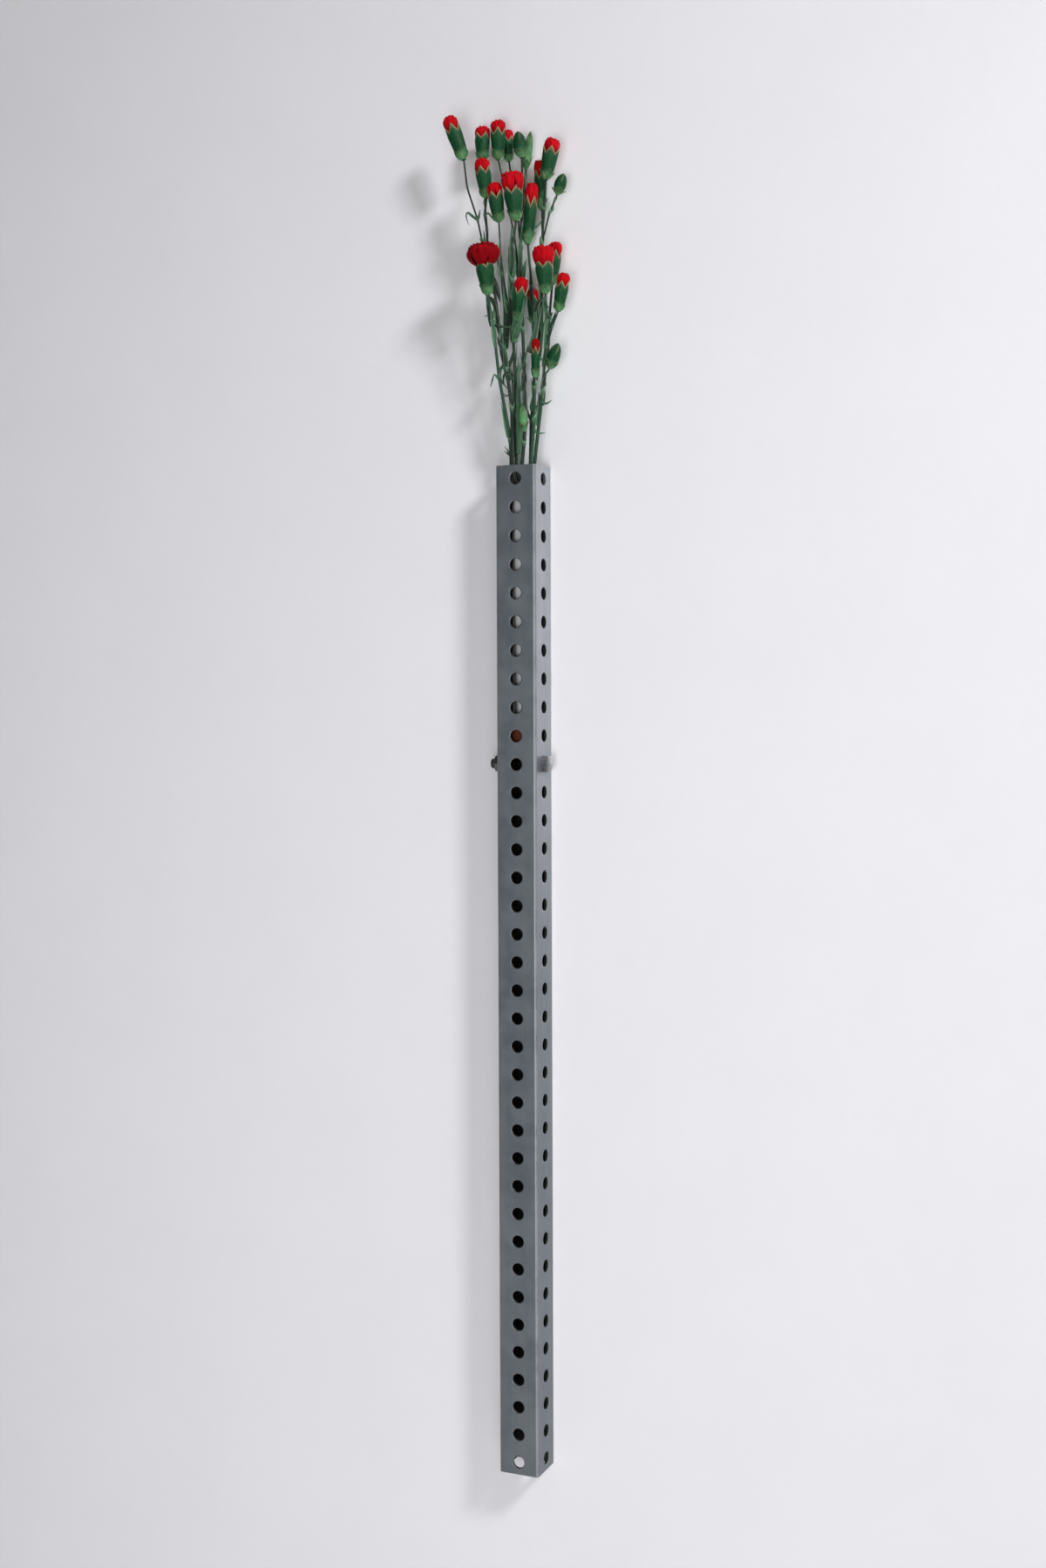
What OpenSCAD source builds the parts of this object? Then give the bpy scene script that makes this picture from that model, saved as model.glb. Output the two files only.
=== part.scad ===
// Wall flower tube.
// A length of perforated square steel tube stands upright against a wall. A frosted glass tube
// with a round closed end stands inside its upper end. A rubber cap covers that closed end, and
// rests on a bolt put crosswise through one row of holes. Carnations stand in the glass.
// Origin: middle of the face that lies on the wall. +Z up, +Y into the wall, +X to the right.

/* [Steel tube] */
// Outside width of the square tube
tube_w = 38.1; // [37:0.1:44]
// Thickness of the tube's wall
tube_wall = 2.1; // [1.5:0.1:2.4]
// Radius of the tube's long outer corners
corner_r = 2.4; // [2:0.1:4]
// Distance between two rows of holes
hole_pitch = 25.4; // [24:0.1:28]
// Diameter of each hole
hole_d = 11.11; // [10.5:0.01:13]
// Number of rows of holes from end to end
hole_rows = 36; // [20:1:48]
// Distance from the middle of an end row to the cut end of the tube
end_margin = 11.6; // [8:0.1:16]

/* [Cross bolt] */
// Row of holes that the bolt goes through, counted from the top
bolt_row = 11; // [10:1:13]
// Diameter of the bolt's shank
bolt_d = 9.52; // [8:0.01:10]
// Length of the bolt under its head
bolt_len = 50.8; // [50:0.1:64]
// Width across the flats of the bolt's head and of the nut
hex_w = 14.29; // [13:0.01:17]
// Thickness of the bolt's head
head_t = 6; // [4:0.1:8]
// Thickness of the nut
nut_t = 8.33; // [6:0.01:9.5]
// Chamfer on the corners of the head, the nut and the bolt's end
chamfer = 0.8; // [0.4:0.1:1.2]

/* [Glass tube and rubber cap] */
// Outside diameter of the glass tube
glass_od = 20; // [19:0.1:24]
// Thickness of the glass
glass_wall = 1.2; // [0.8:0.1:1.4]
// Depth of the glass rim below the top of the steel tube
rim_depth = 22; // [8:0.5:40]
// Thickness of the cap round the glass
cap_wall = 3.3; // [2:0.1:4]
// Thickness of the cap under the glass
cap_floor = 4; // [2:0.1:8]
// Height of the cap
cap_height = 29; // [18:0.5:40]
// Rounding of the cap's lower edge
cap_edge_r = 1.5; // [0.5:0.1:2]

/* [Carnations] */
// Diameter of a main stem
stem_d = 3.4; // [3:0.1:4]
// Diameter of a main stem just below its uppermost flower
stem_top_d = 2; // [1.8:0.1:3]
// Diameter of a side branch
branch_d = 1.6; // [1.4:0.1:2.6]
// Diameter of a full-grown calyx a little below its mouth
calyx_d = 12.8; // [9:0.1:13.2]
// Diameter of a calyx where it meets its stem
neck_d = 6; // [4:0.1:7]
// Length of a full-grown leaf
leaf_len = 24; // [16:1:28]
// Width of a leaf at its widest
leaf_w = 4.4; // [3:0.1:5]
// Thickness of a leaf
leaf_t = 0.9; // [0.6:0.1:1.4]

/* [Fits] */
// Gap between the rubber cap and the bolt that it rests on
rest_gap = 0.3; // [0.1:0.1:0.5]
// Gap on the radius between the bolt's thread and the nut
thread_gap = 0.05; // [0.02:0.01:0.1]
// Gap between the glass and the cap that grips it
cap_gap = 0.05; // [0.02:0.01:0.1]
// Gap between a stem's cut end and the glass, and between petals and calyx
soft_gap = 0.2; // [0.1:0.1:0.3]
// Gap between the upright stems and the inside of the glass
stem_gap = 0.5; // [0.4:0.1:1]

/* [Hidden] */
round_fn = 64;
rod_fn = 6;
head_fn = 12;
slice = 0.2;
over = 1;

// Places that follow from the sizes above
tube_len = (hole_rows - 1) * hole_pitch + 2 * end_margin;
tube_top = tube_len / 2;
tube_axis_y = -tube_w / 2;
bolt_z = tube_top - end_margin - (bolt_row - 1) * hole_pitch;
cap_z = bolt_z + bolt_d / 2 + rest_gap;
glass_r = glass_od / 2;
bore_r = glass_r - glass_wall;
glass_rim_z = tube_top - rim_depth;
bowl_z = cap_z + cap_floor + cap_gap + glass_r;
stem_ring_r = bore_r - stem_d / 2 - stem_gap;
stem_foot_z = bowl_z - sqrt(pow(bore_r - stem_d / 2 - soft_gap, 2) - pow(stem_ring_r, 2));

// How far open a flower is: the green share of its length, and the widths of its mouth and of
// its petals as multiples of the calyx
GREEN_BUD = 0;
SHOWING_TIP = 1;
HALF_OPEN = 2;
OPEN_BLOOM = 3;
green_share = [1, 0.72, 0.64, 0.62];
mouth_spread = [0.2, 0.95, 1.1, 1.12];
petal_spread = [0, 0.9, 1.35, 2.05];

// The carnations. Places are in mm from the middle of the steel tube's mouth: to the right,
// towards the wall, and up. A spray is [angle round the glass, paths, leaves]. Its first path
// starts at the tube's mouth and the others branch off it. A path is [places, head], where the
// last place is the flower's neck and a head is [tip, how far open, share of full size].
// A leaf is [place on the stem, direction, share of full size].
sprays = [
    [172,
        [
            [[[-10, -4, 0], [-10, -6, 24], [-16, -17, 79], [-18, -25, 124], [-21, -29, 149]],
                [[-25, -32, 193], OPEN_BLOOM, 1.08]]
        ],
        [[[-16, -17, 79], [-8, -1, -6], 0.42], [[-18, -25, 124], [-9, 0, 6], 0.45]]
    ],
    [224,
        [
            [[[-7, -8, 0], [-7, -9, 51], [-11, -11, 85], [-13, -12, 104], [-18, -12, 125],
                    [-23, -12, 162], [-28, -14, 189], [-26, -19, 209], [-27, -22, 220],
                    [-24, -24, 235]],
                [[-28, -26, 268], SHOWING_TIP, 1.08]],
            [[[-28, -14, 189], [-32, -16, 198], [-35, -19, 217], [-45, -20, 247], [-48, -20, 272]],
                [[-62, -22, 310], SHOWING_TIP, 1.1]],
            [[[-26, -19, 209], [-31, -12, 232], [-36, -6, 261], [-37, -3, 274]],
                [[-39, 0, 304], SHOWING_TIP, 1.08]]
        ],
        [[[-35, -19, 217], [-10, -2, 4], 0.46], [[-13, -12, 104], [-5, -3, 17], 0.75]]
    ],
    [121,
        [
            [[[-9, 5, 0], [-7, 1, 43], [-6, -4, 81], [-5, -10, 113], [-3, -17, 162], [1, -24, 191],
                    [6, -28, 211]],
                [[3, -31, 252], HALF_OPEN, 1.15]],
            [[[-5, -10, 113], [-10, -13, 143], [-13, -16, 169], [-12, -22, 191], [-11, -27, 212]],
                [[-13, -33, 244], SHOWING_TIP, 1.06]],
            [[[-5, -10, 113], [-1, -14, 119], [2, -17, 127]],
                [[8, -20, 163], SHOWING_TIP, 0.95]]
        ],
        [[[-7, -1, 62], [-9, 0, 12], 0.63], [[-5, -10, 113], [-8, 5, 4], 0.43]]
    ],
    [275,
        [
            [[[3, -10, 0], [5, -10, 20], [6, -9, 40], [4, -7, 89], [2, -5, 120], [-1, -2, 159],
                    [-2, -1, 197], [0, 1, 234], [0, -1, 273]],
                [[-4, -1, 296], GREEN_BUD, 0.95]],
            [[[-2, -1, 197], [-6, 3, 229], [-14, 8, 258], [-18, 11, 275]],
                [[-19, 11, 302], SHOWING_TIP, 0.8]],
            [[[-1, -2, 159], [-8, 0, 206], [-18, -1, 252], [-23, -1, 274]],
                [[-23, -1, 308], SHOWING_TIP, 1.05]],
            [[[0, 1, 234], [0, 6, 254], [0, 8, 264]],
                [[5, 7, 297], GREEN_BUD, 0.6]],
            [[[5, -10, 20], [7, -14, 30]],
                [[5, -15, 54], GREEN_BUD, 0.6]]
        ],
        [[[3, -6, 100], [4, -2, 18], 0.77]]
    ],
    [327,
        [
            [[[9, -5, 0], [13, -6, 40], [14, -7, 68], [12, -3, 96], [10, 0, 124], [8, 2, 159],
                    [5, 0, 197]],
                [[10, -1, 249], SHOWING_TIP, 0.95]],
            [[[14, -7, 68], [17, -13, 77]],
                [[18, -13, 110], SHOWING_TIP, 0.6]],
            [[[12, -3, 96], [9, 6, 115], [6, 11, 129]],
                [[5, 11, 159], SHOWING_TIP, 0.85]]
        ],
        [[[12, -6, 30], [10, -2, -1], 0.43]]
    ],
    [18,
        [
            [[[10, 1, 0], [20, -3, 65], [22, -3, 91], [25, -4, 104], [26, -1, 129], [28, 1, 160]],
                [[31, 2, 196], SHOWING_TIP, 0.95]],
            [[[26, -1, 129], [28, -11, 133], [29, -17, 148]],
                [[28, -19, 188], HALF_OPEN, 1.08]],
            [[[25, -4, 104], [31, -6, 121], [37, -7, 134]],
                [[43, -7, 166], SHOWING_TIP, 0.95]],
            [[[21, -3, 78], [28, -5, 85]],
                [[36, -5, 106], GREEN_BUD, 0.9]]
        ],
        [[[19, -3, 57], [11, -2, 0], 0.46]]
    ],
    [70,
        [
            [[[3, 9, 0], [4, 9, 42], [10, 8, 82], [15, 8, 120], [16, 7, 166], [16, 6, 196],
                    [21, 0, 226], [24, -3, 251]],
                [[31, -3, 285], SHOWING_TIP, 1.12]],
            [[[16, 6, 196], [15, 10, 212], [14, 11, 229]],
                [[12, 11, 272], SHOWING_TIP, 0.85]],
            [[[16, 6, 196], [25, 2, 222], [31, 0, 232], [34, -1, 237]],
                [[40, -1, 254], GREEN_BUD, 0.85]]
        ],
        [[[16, 7, 176], [7, 2, 14], 0.66]]
    ]
];

// Helpers

// Puts its children at place a, with their +Z pointing at place b
module along(a, b) {
    v = b - a;
    translate(a)
        rotate([0, acos(v.z / norm(v)), atan2(v.y, v.x)])
            children();
}

// A square with rounded corners
module rounded_square(width, r) {
    square([width, width - 2 * r], center = true);
    square([width - 2 * r, width], center = true);
    for (x = [-1, 1], y = [-1, 1])
        translate([x * (width / 2 - r), y * (width / 2 - r)])
            circle(r, $fn = round_fn);
}

// A hexagonal prism whose corners are chamfered at its top, and at its foot if both is true
module hexagon(width, height, both) {
    corner_d = width / cos(30);
    intersection() {
        cylinder(d = corner_d, h = height, $fn = 6);
        union() {
            cylinder(d1 = both ? width : width + 2 * chamfer, d2 = width + 2 * chamfer,
                h = chamfer, $fn = round_fn);
            translate([0, 0, chamfer])
                cylinder(d = width + 2 * chamfer, h = height - 2 * chamfer, $fn = round_fn);
            translate([0, 0, height - chamfer])
                cylinder(d1 = width + 2 * chamfer, d2 = width, h = chamfer, $fn = round_fn);
        }
    }
}

// Half the outline of a rod with a round lower end, to be turned round its axis
module round_end(r, height) {
    square([r, height]);
    intersection() {
        circle(r = r, $fn = round_fn);
        translate([0, -r])
            square(r);
    }
}

// A thin disc, one of the cross sections that a hull joins into a calyx or petals
module disc(d) {
    cylinder(d = d, h = slice, $fn = head_fn);
}

// A bent round rod through a path's places, as thick as d1 at its start and d2 at its end
module rod(path, d1, d2) {
    last = len(path) - 1;
    for (i = [0 : last - 1])
        hull()
            for (j = [i, i + 1])
                translate(path[j])
                    sphere(d = d1 + (d2 - d1) * j / last, $fn = rod_fn);
}

// The green part of a flower: a calyx, or a closed bud
module calyx(neck, head) {
    green_len = norm(head[0] - neck) * green_share[head[1]];
    d = calyx_d * head[2];
    closed = head[1] == GREEN_BUD;
    along(neck, head[0])
        hull() {
            disc(min(neck_d * head[2], d));
            translate([0, 0, green_len * 0.38])
                disc(closed ? d : d * 0.86);
            translate([0, 0, green_len * 0.78])
                disc(closed ? d * 0.68 : d);
            translate([0, 0, green_len - slice])
                disc(d * mouth_spread[head[1]]);
        }
}

// The petals that stand out of a calyx
module petals(neck, head) {
    head_len = norm(head[0] - neck);
    foot = head_len * green_share[head[1]] + soft_gap;
    height = head_len - foot;
    d = calyx_d * head[2];
    along(neck, head[0])
        translate([0, 0, foot])
            hull() {
                disc(d * 0.84);
                translate([0, 0, height * 0.7])
                    disc(d * petal_spread[head[1]]);
                translate([0, 0, height - slice])
                    disc(d * petal_spread[head[1]] * 0.7);
            }
}

// A pointed leaf that grows from foot in the direction way, at a share of full size
module leaf(foot, way, share) {
    along(foot, foot + way)
        hull() {
            cube([branch_d * 0.7, leaf_t, slice], center = true);
            translate([0, 0, leaf_len * share * 0.4])
                cube([leaf_w * share, leaf_t, slice], center = true);
            translate([0, 0, leaf_len * share])
                cube([leaf_t / 2, leaf_t / 2, slice], center = true);
        }
}

// Sub-parts

module perforated_tube() {
    inner_r = max(corner_r - tube_wall, 0.2);
    color("slategray")
        translate([0, tube_axis_y, -tube_len / 2])
            difference() {
                linear_extrude(tube_len)
                    difference() {
                        rounded_square(tube_w, corner_r);
                        rounded_square(tube_w - 2 * tube_wall, inner_r);
                    }
                for (row = [0 : hole_rows - 1], turn = [0, 90])
                    translate([0, 0, end_margin + row * hole_pitch])
                        rotate([0, 90, turn])
                            translate([0, 0, -tube_w / 2 - over])
                                cylinder(d = hole_d, h = tube_w + 2 * over, $fn = round_fn);
            }
}

module cross_bolt() {
    color("lightgray")
        translate([tube_w / 2, tube_axis_y, bolt_z])
            rotate([0, 90, 0]) {
                hexagon(hex_w, head_t, false);
                translate([0, 0, chamfer - bolt_len])
                    cylinder(d = bolt_d, h = bolt_len - chamfer, $fn = round_fn);
                translate([0, 0, -bolt_len])
                    cylinder(d1 = bolt_d - 2 * chamfer, d2 = bolt_d, h = chamfer, $fn = round_fn);
            }
}

module hex_nut() {
    color("gray")
        translate([-tube_w / 2, tube_axis_y, bolt_z])
            rotate([0, -90, 0])
                difference() {
                    hexagon(hex_w, nut_t, true);
                    translate([0, 0, -over])
                        cylinder(d = bolt_d + 2 * thread_gap, h = nut_t + 2 * over, $fn = round_fn);
                }
}

module glass_tube() {
    straight_len = glass_rim_z - glass_wall / 2 - bowl_z;
    color("lightcyan", 0.6)
        translate([0, tube_axis_y, bowl_z])
            rotate_extrude($fn = round_fn) {
                difference() {
                    round_end(glass_r, straight_len);
                    round_end(bore_r, straight_len + over);
                }
                translate([glass_r - glass_wall / 2, straight_len])
                    circle(d = glass_wall, $fn = round_fn);
            }
}

module rubber_cap() {
    pocket_r = glass_r + cap_gap;
    cap_r = glass_r + cap_wall;
    color("saddlebrown")
        translate([0, tube_axis_y, cap_z])
            rotate_extrude($fn = round_fn)
                difference() {
                    union() {
                        square([cap_r - cap_edge_r, cap_height]);
                        translate([0, cap_edge_r])
                            square([cap_r, cap_height - cap_edge_r]);
                        translate([cap_r - cap_edge_r, cap_edge_r])
                            circle(r = cap_edge_r, $fn = round_fn);
                    }
                    translate([0, bowl_z - cap_z])
                        round_end(pocket_r, cap_height);
                }
}

module spray_stem(number) {
    spray = sprays[number - 1];
    standing = [
        for (z = [stem_foot_z - tube_top, -rim_depth])
            [stem_ring_r * cos(spray[0]), stem_ring_r * sin(spray[0]), z]
    ];
    color("seagreen")
        translate([0, tube_axis_y, tube_top])
            union() {
                rod(standing, stem_d, stem_d);
                rod(concat([standing[1]], spray[1][0][0]), stem_d, stem_top_d);
                for (i = [1 : 1 : len(spray[1]) - 1])
                    rod(spray[1][i][0], branch_d, branch_d);
                for (path = spray[1])
                    calyx(path[0][len(path[0]) - 1], path[1]);
                for (blade = spray[2])
                    leaf(blade[0], blade[1], blade[2]);
            }
}

module spray_petals(number) {
    color("crimson")
        translate([0, tube_axis_y, tube_top])
            for (path = sprays[number - 1][1])
                if (path[1][1] != GREEN_BUD)
                    petals(path[0][len(path[0]) - 1], path[1]);
}

perforated_tube();
cross_bolt();
hex_nut();
glass_tube();
rubber_cap();
for (number = [1 : len(sprays)]) {
    spray_stem(number);
    spray_petals(number);
}
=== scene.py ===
import math
import random

import bpy
import numpy as np
from mathutils import Matrix, Quaternion, Vector


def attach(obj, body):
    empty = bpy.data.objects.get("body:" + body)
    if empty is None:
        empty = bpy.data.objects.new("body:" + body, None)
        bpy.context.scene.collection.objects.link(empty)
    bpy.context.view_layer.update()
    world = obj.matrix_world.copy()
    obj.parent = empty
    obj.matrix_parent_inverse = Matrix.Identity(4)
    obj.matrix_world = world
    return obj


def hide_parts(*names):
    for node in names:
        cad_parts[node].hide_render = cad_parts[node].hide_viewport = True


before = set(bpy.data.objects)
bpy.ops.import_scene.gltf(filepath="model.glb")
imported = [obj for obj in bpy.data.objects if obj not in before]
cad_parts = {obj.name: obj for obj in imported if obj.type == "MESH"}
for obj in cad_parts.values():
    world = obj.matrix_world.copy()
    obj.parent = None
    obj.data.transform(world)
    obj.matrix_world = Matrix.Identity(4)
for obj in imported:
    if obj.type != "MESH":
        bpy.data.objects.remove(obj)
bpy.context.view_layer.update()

# Sizes in mm, the same as in the part's source
MM = 0.001
TUBE_W = 38.1
TUBE_WALL = 2.1
CORNER_R = 2.4
HOLE_PITCH = 25.4
HOLE_R = 11.11 / 2
TUBE_TOP = 456.1
END_MARGIN = 11.6
AXIS_Y = -TUBE_W / 2
BOLT_Z = 190.5
BOLT_D = 9.52
BOLT_LEN = 50.8
HEX_W = 14.29
HEAD_T = 6
NUT_T = 8.33
CHAMFER = 0.8
THREAD_GAP = 0.05
THREAD_LEN = 25.4
THREAD_PITCH = 25.4 / 16
HEX_COLUMNS = 72
RIM_DEPTH = 22
STEM_RING_R = 6.6
STEM_FOOT_Z = 207.6
STEM_D = 3.4
STEM_TOP_D = 2
BRANCH_D = 1.6
CALYX_D = 12.8

# How far open a flower is
GREEN_BUD = 0
SHOWING_TIP = 1
HALF_OPEN = 2
OPEN_BLOOM = 3
GREEN_SHARE = (1, 0.72, 0.64, 0.62)
PETAL_SPREAD = (0, 0.95, 1.35, 2.05)

# The carnations. Places are in mm from the middle of the steel tube's mouth: to the right,
# towards the wall, and up. A spray is (angle round the glass, paths, leaves). Its first path
# starts at the tube's mouth and the others branch off it. A path is (places, head), where the
# last place is the flower's neck and a head is (tip, how far open, share of full size).
# A leaf is (places along its middle, width), and a third number above 1.1 turns it dark.
SPRAYS = (
    (172,
        (
            (((-10, -4, 0), (-10, -6, 24), (-16, -17, 79), (-18, -25, 124), (-21, -29, 149)),
                ((-25, -32, 193), OPEN_BLOOM, 1.08)),
        ),
        (
            (((-16, -17, 75), (-17, -18, 79), (-20, -19, 81), (-21, -19, 77), (-23, -19, 70)), 1.9),
            (((-18, -25, 127), (-21, -26, 132), (-25, -27, 130)), 1.8),
            (((-18, -25, 128), (-17, -27, 133), (-16, -28, 136)), 1.6),
            (((-11, -4, 10), (-15, -5, 13), (-17, -5, 15)), 1.8),
            (((-11, -4, 10), (-13, -5, 15), (-16, -6, 19)), 1.6),
            (((-21, -28, 147), (-18, -25, 144), (-16, -24, 138), (-14, -23, 129)), 3.4, 1.5),
            (((-18, -24, 164), (-16, -25, 158), (-13, -25, 150), (-11, -25, 142)), 4.5, 1.6),
            (((-16, -15, 75), (-20, -17, 81), (-22, -18, 78), (-24, -18, 70)), 1.8, 1.4),
            (((-19, -23, 124), (-15, -17, 123), (-7, -14, 122)), 2.6, 1.6),
            (((-18, -25, 131), (-24, -19, 133), (-27, -20, 133), (-28, -21, 131)), 1.6, 1.3),
        )),
    (224,
        (
            (((-7, -8, 0), (-7, -9, 51), (-11, -11, 85), (-13, -12, 104), (-18, -12, 125),
                (-23, -12, 162), (-28, -14, 189), (-26, -19, 209), (-27, -22, 220), (-24, -24, 235)),
                ((-28, -26, 268), SHOWING_TIP, 1.08)),
            (((-28, -14, 189), (-32, -16, 198), (-35, -19, 217), (-45, -20, 247), (-48, -20, 272)),
                ((-62, -22, 310), SHOWING_TIP, 1.1)),
            (((-26, -19, 209), (-31, -12, 232), (-36, -6, 261), (-37, -3, 274)),
                ((-39, 0, 304), SHOWING_TIP, 1.08)),
        ),
        (
            (((-35, -19, 217), (-40, -20, 221), (-44, -21, 224), (-45, -21, 220), (-43, -20, 213)), 2),
            (((-35, -19, 217), (-33, -20, 222), (-32, -21, 226)), 1.8),
            (((-11, -11, 85), (-13, -13, 89), (-16, -14, 85), (-16, -14, 78), (-13, -13, 72),
                (-9, -12, 69)), 2.2, 1.3),
            (((-13, -12, 102), (-17, -14, 110), (-17, -14, 118)), 3.6, 1.5),
            (((-18, -12, 125), (-13, -14, 123), (-7, -15, 122), (-2, -15, 124)), 1.6),
            (((-27, -22, 220), (-23, -22, 221), (-20, -21, 216)), 1.4),
            (((-11, -11, 85), (-7, -9, 95), (-5, -7, 107)), 2.6, 1.5),
            (((-9, -11, 76), (-11, -12, 90), (-15, -13, 105), (-16, -13, 118)), 5.5, 1.6),
            (((-6, -11, 76), (-8, -13, 82), (-13, -14, 80), (-13, -13, 72), (-9, -11, 68)), 2.8, 1.4),
            (((-7, -10, 60), (-10, -12, 62), (-16, -13, 60)), 3, 1.4),
            (((-8, -14, 114), (-12, -13, 114), (-15, -12, 116)), 2.4, 1.6),
            (((-12, -11, 104), (-11, -10, 137), (-14, -10, 160), (-17, -10, 195)), 5, 1.4),
        )),
    (121,
        (
            (((-9, 5, 0), (-7, 1, 43), (-6, -4, 81), (-5, -10, 113), (-3, -17, 162), (1, -24, 191),
                (6, -28, 211)),
                ((3, -31, 252), HALF_OPEN, 1.15)),
            (((-5, -10, 113), (-10, -13, 143), (-13, -16, 169), (-12, -22, 191), (-11, -27, 212)),
                ((-13, -33, 244), SHOWING_TIP, 1.06)),
            (((-5, -10, 113), (-1, -14, 119), (2, -17, 127)),
                ((8, -20, 163), SHOWING_TIP, 0.95)),
        ),
        (
            (((-7, 0, 62), (-13, -2, 63), (-18, -4, 66), (-21, -5, 72)), 1.8),
            (((-7, 0, 62), (-3, 1, 68), (-2, 2, 77)), 2.2),
            (((-5, -10, 113), (-1, -13, 112), (3, -15, 116)), 2),
            (((-3, -17, 162), (1, -20, 170), (2, -21, 182)), 2.6),
            (((-13, -16, 169), (-16, -17, 178), (-17, -17, 187)), 2.4),
            (((-2, -14, 108), (0, -17, 120), (3, -19, 133), (5, -20, 146)), 5.5),
            (((-4, -12, 110), (3, -22, 118), (9, -25, 130), (13, -27, 143)), 6.5, 0.3),
            (((-8, 1, 9), (-7, -3, 33), (-6, -5, 61), (-4, -7, 86), (-2, -9, 108)), 5, 1.5),
            (((-6, 2, 12), (-3, -2, 37), (-2, -5, 68), (-1, -8, 96)), 4.5, 1.2),
            (((-5, -8, 113), (-6, -8, 138), (-8, -8, 157), (-9, -8, 176), (-10, -8, 195)), 5, 1.5),
            (((-4, -14, 165), (-3, -13, 175), (-2, -12, 183), (-3, -12, 192)), 5, 0),
        )),
    (275,
        (
            (((3, -10, 0), (5, -10, 20), (6, -9, 40), (4, -7, 89), (2, -5, 120), (-1, -2, 159),
                (-2, -1, 197), (0, 1, 234), (0, -1, 273)),
                ((-4, -1, 296), GREEN_BUD, 0.95)),
            (((-2, -1, 197), (-6, 3, 229), (-14, 8, 258), (-18, 11, 275)),
                ((-19, 11, 302), SHOWING_TIP, 0.8)),
            (((-1, -2, 159), (-8, 0, 206), (-18, -1, 252), (-23, -1, 274)),
                ((-23, -1, 308), SHOWING_TIP, 1.05)),
            (((0, 1, 234), (0, 6, 254), (0, 8, 264)),
                ((5, 7, 297), GREEN_BUD, 0.6)),
            (((5, -10, 20), (7, -14, 30)),
                ((5, -15, 54), GREEN_BUD, 0.6)),
        ),
        (
            (((4, -7, 89), (0, -8, 84), (-1, -9, 76), (0, -9, 69), (3, -9, 73)), 2),
            (((4, -7, 89), (7, -8, 98), (9, -9, 108)), 2.4),
            (((4, -8, 66), (6, -9, 78), (5, -9, 90)), 3.6, 1.8),
            (((8, -4, 100), (14, -5, 114), (18, -6, 128), (21, -8, 140)), 5, 1.3),
            (((-1, -2, 159), (3, -3, 170), (5, -4, 183)), 2.8),
            (((-2, -1, 197), (1, -3, 206), (1, -4, 216)), 2.6),
        )),
    (327,
        (
            (((9, -5, 0), (13, -6, 40), (14, -7, 68), (12, -3, 96), (10, 0, 124), (8, 2, 159),
                (5, 0, 197)),
                ((10, -1, 249), SHOWING_TIP, 0.95)),
            (((14, -7, 68), (17, -13, 77)),
                ((18, -13, 110), SHOWING_TIP, 0.6)),
            (((12, -3, 96), (9, 6, 115), (6, 11, 129)),
                ((5, 11, 159), SHOWING_TIP, 0.85)),
        ),
        (
            (((13, -6, 33), (16, -7, 29), (20, -8, 28), (25, -8, 28)), 1.8),
            (((13, -6, 36), (15, -8, 39), (16, -8, 42)), 1.6),
            (((8, 2, 200), (9, 4, 209), (13, 5, 213), (17, 5, 218)), 2.6),
            (((10, 0, 124), (13, -2, 134), (14, -3, 146)), 2.8),
        )),
    (18,
        (
            (((10, 1, 0), (20, -3, 65), (22, -3, 91), (25, -4, 104), (26, -1, 129), (28, 1, 160)),
                ((31, 2, 196), SHOWING_TIP, 0.95)),
            (((26, -1, 129), (28, -11, 133), (29, -17, 148)),
                ((28, -19, 188), HALF_OPEN, 1.08)),
            (((25, -4, 104), (31, -6, 121), (37, -7, 134)),
                ((43, -7, 166), SHOWING_TIP, 0.95)),
            (((21, -3, 78), (28, -5, 85)),
                ((36, -5, 106), GREEN_BUD, 0.9)),
        ),
        (
            (((19, -3, 57), (24, -4, 54), (30, -5, 57)), 1.9),
            (((19, -3, 57), (21, -4, 61), (22, -5, 66)), 1.8),
            (((22, -3, 91), (18, -5, 95), (14, -6, 96)), 1.8),
            (((26, -1, 129), (22, -2, 138), (20, -2, 150)), 2.6),
            (((15, -8, 135), (20, -9, 143), (27, -8, 147)), 3.4, 1.6),
        )),
    (70,
        (
            (((3, 9, 0), (4, 9, 42), (10, 8, 82), (15, 8, 120), (16, 7, 166), (16, 6, 196),
                (21, 0, 226), (24, -3, 251)),
                ((31, -3, 285), SHOWING_TIP, 1.12)),
            (((16, 6, 196), (15, 10, 212), (14, 11, 229)),
                ((12, 11, 272), SHOWING_TIP, 0.85)),
            (((16, 6, 196), (25, 2, 222), (31, 0, 232), (34, -1, 237)),
                ((40, -1, 254), GREEN_BUD, 0.85)),
        ),
        (
            (((4, 9, 42), (1, 9, 50), (0, 8, 60)), 2.4),
            (((15, 8, 120), (19, 9, 131), (21, 10, 143)), 2.6),
            (((16, 7, 166), (20, 9, 176), (23, 9, 190)), 2.4),
            (((25, 2, 222), (28, 4, 226), (28, 5, 231)), 1.6),
        )),
)

# How dark each spray's stems are: above 1.1 they turn towards a dark grey-green
STEM_DUSK = (0.6, 1.4, 1.3, 1.4, 1.2, 1.2, 1.4)

# Share of the stem nodes that have a sheath, and how much wider leaves are than their listed width
SHEATH_SHARE = 0.6
LEAF_SCALE = 1.15

# Leaves that stay close to a stem: the heights between which they start, their share of the
# stem's places, and how dark they may be
CLASPING_LOW = 14
CLASPING_HIGH = 185
CLASPING_SHARE = 0.12
CLASPING_DUSKS = (0.5, 1.2, 1.5)

# How dark the open bloom's petals may be, and those of a flower with a radius under YOUNG_R
BLOOM_DUSKS = (0.3, 1, 1.5)
YOUNG_DUSK = 1.2
YOUNG_R = 4

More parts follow.
